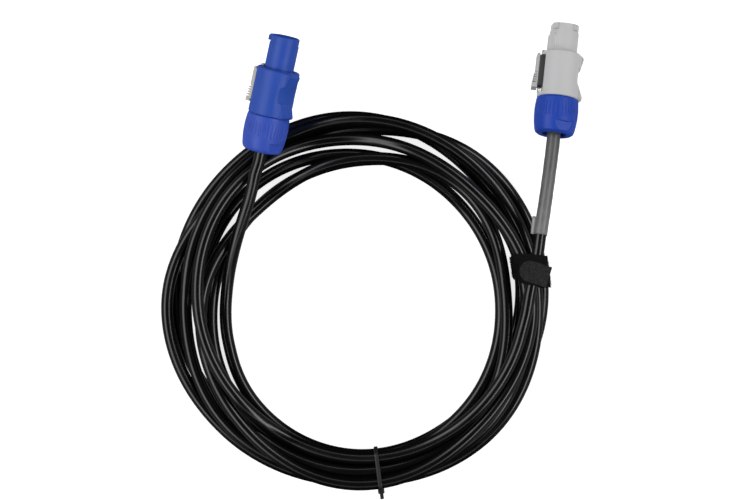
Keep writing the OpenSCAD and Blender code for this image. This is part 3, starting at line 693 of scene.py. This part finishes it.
# the ratchet head, and the strip's cut end through it
head_shape = bmesh.new()
for out, size, ease in ((0.0014, (0.0032, 0.0042, 0.0048), 0.0006),
                        (0.0036, (0.0062, 0.0024, 0.0011), 0.0003)):
    rounded_block(head_shape, head_place(out), size, ease)
for face in head_shape.faces:
    face.smooth = True
tie_head = piece_from(head_shape, "tie_head")
tie_nylon = finish_of("black_tie_nylon", (0.012, 0.012, 0.013), 0.38, 0.4, relief=0.1)
for piece in (tie_band, tie_head):
    piece.data.materials.append(tie_nylon)
    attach(piece, "lead")
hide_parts("cable_tie")

# ---------------------------------------------------------------- connector housings
# Each housing is one fine-textured moulding: plug-in barrel with locking keys, shell
# with a finger grip, threaded neck. Every visible edge carries the mould's small radius.


def eased_copy(node, name, ease, material, body, sharp=28.0):
    """A solid's mesh with its doubles merged and its sharp edges rounded off."""
    shape = bmesh.new()
    shape.from_mesh(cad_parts[node].data)
    bmesh.ops.remove_doubles(shape, verts=shape.verts, dist=0.000003)
    bmesh.ops.dissolve_limit(shape, angle_limit=math.radians(0.6), verts=shape.verts,
                             edges=shape.edges, delimit={"NORMAL"})
    keen = [e for e in shape.edges
            if len(e.link_faces) == 2 and e.calc_face_angle(0) > math.radians(sharp)]
    bmesh.ops.bevel(shape, geom=keen, offset=ease, segments=2, profile=0.5, affect="EDGES",
                    clamp_overlap=True, loop_slide=True)
    for face in shape.faces:
        face.smooth = True
    piece = piece_from(shape, name, material)
    piece.modifiers.new("shading", "WEIGHTED_NORMAL").keep_sharp = True
    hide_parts(node)
    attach(piece, body)


moulded = {"grain": 5200.0, "patch": 70.0, "relief": 0.12, "deep": 0.00006}
blue_plastic = finish_of("blue_moulded_nylon", (0.016, 0.066, 0.380), 0.46, 0.10,
                         specular=0.36, **moulded)
grey_plastic = finish_of("grey_moulded_nylon", (0.49, 0.49, 0.495), 0.50, 0.06, **moulded)
eased_copy("inlet_housing", "blue_housing", 0.00022, blue_plastic, "lead")
eased_copy("outlet_housing", "grey_housing", 0.00026, grey_plastic, "lead")

# ---------------------------------------------------------------- ring nuts
# Blue nylon nuts with shallow grip flutes and two spanner flats. Each screws on the
# housing's neck and closes the chuck on the cable.
nut_blue = finish_of("blue_ring_nut_nylon", (0.026, 0.070, 0.43), 0.44, 0.10,
                     specular=0.36, **moulded)
deep_blue = finish_of("deep_blue_ring_nut_nylon", (0.008, 0.050, 0.38), 0.44, 0.10,
                      specular=0.30, **moulded)
eased_copy("inlet_ring_nut", "blue_end_ring_nut", 0.00016, nut_blue, "inlet_nut")
eased_copy("outlet_ring_nut", "grey_end_ring_nut", 0.00016, deep_blue, "outlet_nut")

# ---------------------------------------------------------------- latches
# A bar slides in the shell's channel and carries the thumb plate, and a spring sits in
# the bar's rear pocket. The blue end's bar is ivory as its plate, the grey end's dark.
latch_dark = finish_of("dark_latch_bar", (0.055, 0.055, 0.057), 0.5, relief=0.1)
thumb_ivory = finish_of("ivory_thumb_plate", (0.50, 0.485, 0.43), 0.5, 0.15, relief=0.1)
thumb_grey = finish_of("grey_thumb_plate", (0.42, 0.42, 0.415), 0.5, 0.15, relief=0.1)
latch_ease = 0.0002
for node, name, material, slot in (
        ("inlet_latch_bar", "blue_end_latch_bar", thumb_ivory, "thumb_ivory"),
        ("outlet_latch_bar", "grey_end_latch_bar", latch_dark, "latch_dark"),
        ("inlet_thumb_plate", "blue_end_thumb_plate", thumb_ivory, "thumb_ivory"),
        ("outlet_thumb_plate", "grey_end_thumb_plate", thumb_grey, "thumb_grey")):
    eased_copy(node, name, latch_ease, material, node.split("_")[0] + "_latch")

# round wire, wound; it shows between the bar and the channel's rear wall
spring_wire = finish_of("oiled_spring_wire", (0.16, 0.16, 0.17), 0.4, 0.15, metallic=1.0)
spring_off_axis = -0.01285
spring_back, spring_front = -0.02755, -0.01495
spring_length = spring_front - spring_back


def latch_spring_piece(end, name, place, wire=0.0002, coil=0.00103, turns=13, steps=14, sides=6):
    """A wound spring from the channel's rear wall into the bar's pocket; the latch closes it."""
    shape = bmesh.new()
    rings = []
    for i in range(turns * steps + 1):
        a = math.tau * i / steps
        high = spring_back + wire + (spring_length - 2 * wire) * i / (turns * steps)
        ring = []
        for k in range(sides):
            b = math.tau * k / sides
            reach = coil + wire * math.cos(b)
            ring.append(shape.verts.new(place @ Vector((
                spring_off_axis + reach * math.cos(a), reach * math.sin(a),
                high + wire * math.sin(b)))))
        rings.append(ring)
    for one, other in zip(rings, rings[1:]):
        for k in range(sides):
            shape.faces.new((one[k], one[k - 1], other[k - 1], other[k]))
    shape.faces.new(rings[0])
    shape.faces.new(rings[-1][::-1])
    bmesh.ops.recalc_face_normals(shape, faces=shape.faces)
    for face in shape.faces:
        face.smooth = True
    piece = piece_from(shape, name, spring_wire)
    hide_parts(end + "_latch_spring")
    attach(piece, "lead")
    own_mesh(piece)


latch_spring_piece("inlet", "blue_end_latch_spring", inlet_place)
latch_spring_piece("outlet", "grey_end_latch_spring", outlet_place)

# ---------------------------------------------------------------- inside the connectors
# Black contact carriers, brass contacts with grub screws, the cable's three cores,
# and the clamping chucks.
brass = finish_of("bright_brass", (0.70, 0.50, 0.20), 0.25, 0.15, metallic=1.0)
inside = {
    "carrier": finish_of("black_contact_carrier", (0.016, 0.016, 0.018), 0.42, 0.2, relief=0.1),
    "chuck": finish_of("white_clamping_chuck", (0.70, 0.69, 0.65), 0.45, 0.1, relief=0.1),
    "core_line": finish_of("brown_core", (0.13, 0.05, 0.02), 0.4, 0.1),
    "core_neutral": finish_of("blue_core", (0.03, 0.10, 0.42), 0.4, 0.1),
    "core_earth": finish_of("green_yellow_core", (0.25, 0.42, 0.04), 0.4, 0.1),
    "contact_line": brass, "contact_neutral": brass, "contact_earth": brass,
    "screws": finish_of("plated_steel", (0.55, 0.56, 0.58), 0.3, 0.15, metallic=1.0)}
for end in ("inlet", "outlet"):
    for part, material in inside.items():
        part_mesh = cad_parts[end + "_" + part].data
        part_mesh.materials.clear()
        part_mesh.materials.append(material)

# ---------------------------------------------------------------- floor and light
# A pale light table under two long soft boxes: a broad one on the left and a narrow,
# brighter one on the right, 30 to 60 degrees from straight above, with dim cloth
# between them and dark overhead, where the camera looks in.
table_half = 3.0
corners = [(x * table_half, y * table_half, 0) for x, y in ((-1, -1), (1, -1), (1, 1), (-1, 1))]
table_mesh = bpy.data.meshes.new("pale_table")
table_mesh.from_pydata(corners, [], [(0, 1, 2, 3)])
table = bpy.data.objects.new("pale_table", table_mesh)
table.location = (0, 0, -0.0002)
scene.collection.objects.link(table)
table_white = bpy.data.materials.new("pale_table")
table_white.use_nodes = True
table_skin = table_white.node_tree.nodes["Principled BSDF"]
for label, value in (("Base Color", (0.5, 0.5, 0.5, 1)), ("Roughness", 0.9),
                     ("Specular IOR Level", 0.0), ("Emission Color", (1, 1, 1, 1)),
                     ("Emission Strength", 0.80)):
    table_skin.inputs[label].default_value = value
table_mesh.materials.append(table_white)
table.visible_glossy = False

tent = bpy.data.worlds.new("light_tent")
tent.use_nodes = True
scene.world = tent
weave = tent.node_tree


def tent_ramp(source, *stops):
    """A grey ramp over that value, from (place, level) pairs."""
    node = node_in(weave, "ShaderNodeValToRGB", [("Fac", source)])
    ends = node.color_ramp.elements
    for stop, (place, level) in zip(ends, (stops[0], stops[-1])):
        stop.position, stop.color = place, (level, level, level, 1)
    for place, level in stops[1:-1]:
        ends.new(place).color = (level, level, level, 1)
    return node.outputs["Color"]


def tent_math(kind, *values):
    """The result of one sum in the tent's own nodes."""
    return node_in(weave, "ShaderNodeMath", list(enumerate(values)), operation=kind).outputs[0]


way = node_in(weave, "ShaderNodeTexCoord")
split = node_in(weave, "ShaderNodeSeparateXYZ", [("Vector", way.outputs["Generated"])])
height = split.outputs["Z"]
left_level = tent_ramp(
    height, (0.0, 0.06), (0.40, 0.05), (0.52, 1.0), (0.82, 1.0), (0.88, 0.03), (1.0, 0.012))
right_level = tent_ramp(
    height, (0.0, 0.04), (0.56, 0.04), (0.62, 1.0), (0.76, 1.0), (0.82, 0.03), (1.0, 0.012))
far_strip = tent_ramp(
    height, (0.0, 0.0), (0.62, 0.0), (0.66, 1.0), (0.71, 1.0), (0.75, 0.0), (1.0, 0.0))
flat_way = tent_math("SQRT", tent_math("SUBTRACT", 1.0, tent_math("MULTIPLY", height, height)))
sideways = tent_math("DIVIDE", tent_math("ABSOLUTE", split.outputs["X"]),
                     tent_math("ADD", flat_way, 0.001))
boxes = tent_ramp(sideways, (0.0, 0.03), (0.50, 0.05), (0.72, 1.0), (1.0, 1.0))
between = tent_ramp(sideways, (0.0, 0.5), (0.5, 0.4), (0.75, 0.0), (1.0, 0.0))
on_right = tent_math("GREATER_THAN", split.outputs["X"], 0.0)
right_share = 1.7
left_part = tent_math("MULTIPLY", left_level, tent_math("SUBTRACT", 1.0, on_right))
right_part = tent_math("MULTIPLY", right_level, tent_math("MULTIPLY", on_right, right_share))
cloth = tent_math("ADD", tent_math("MULTIPLY", tent_math("ADD", left_part, right_part), boxes),
                  tent_math("MULTIPLY", far_strip, between))
sky = weave.nodes["Background"]
weave.links.new(cloth, sky.inputs["Color"])
sky.inputs["Strength"].default_value = 3.1
seen = node_in(weave, "ShaderNodeBackground", [("Color", (0.95, 0.95, 0.95, 1))])
ray = node_in(weave, "ShaderNodeLightPath")
either = node_in(weave, "ShaderNodeMixShader", [
    ("Fac", ray.outputs["Is Camera Ray"]), (1, sky.outputs[0]), (2, seen.outputs[0])])
weave.links.new(either.outputs[0], weave.nodes["World Output"].inputs["Surface"])
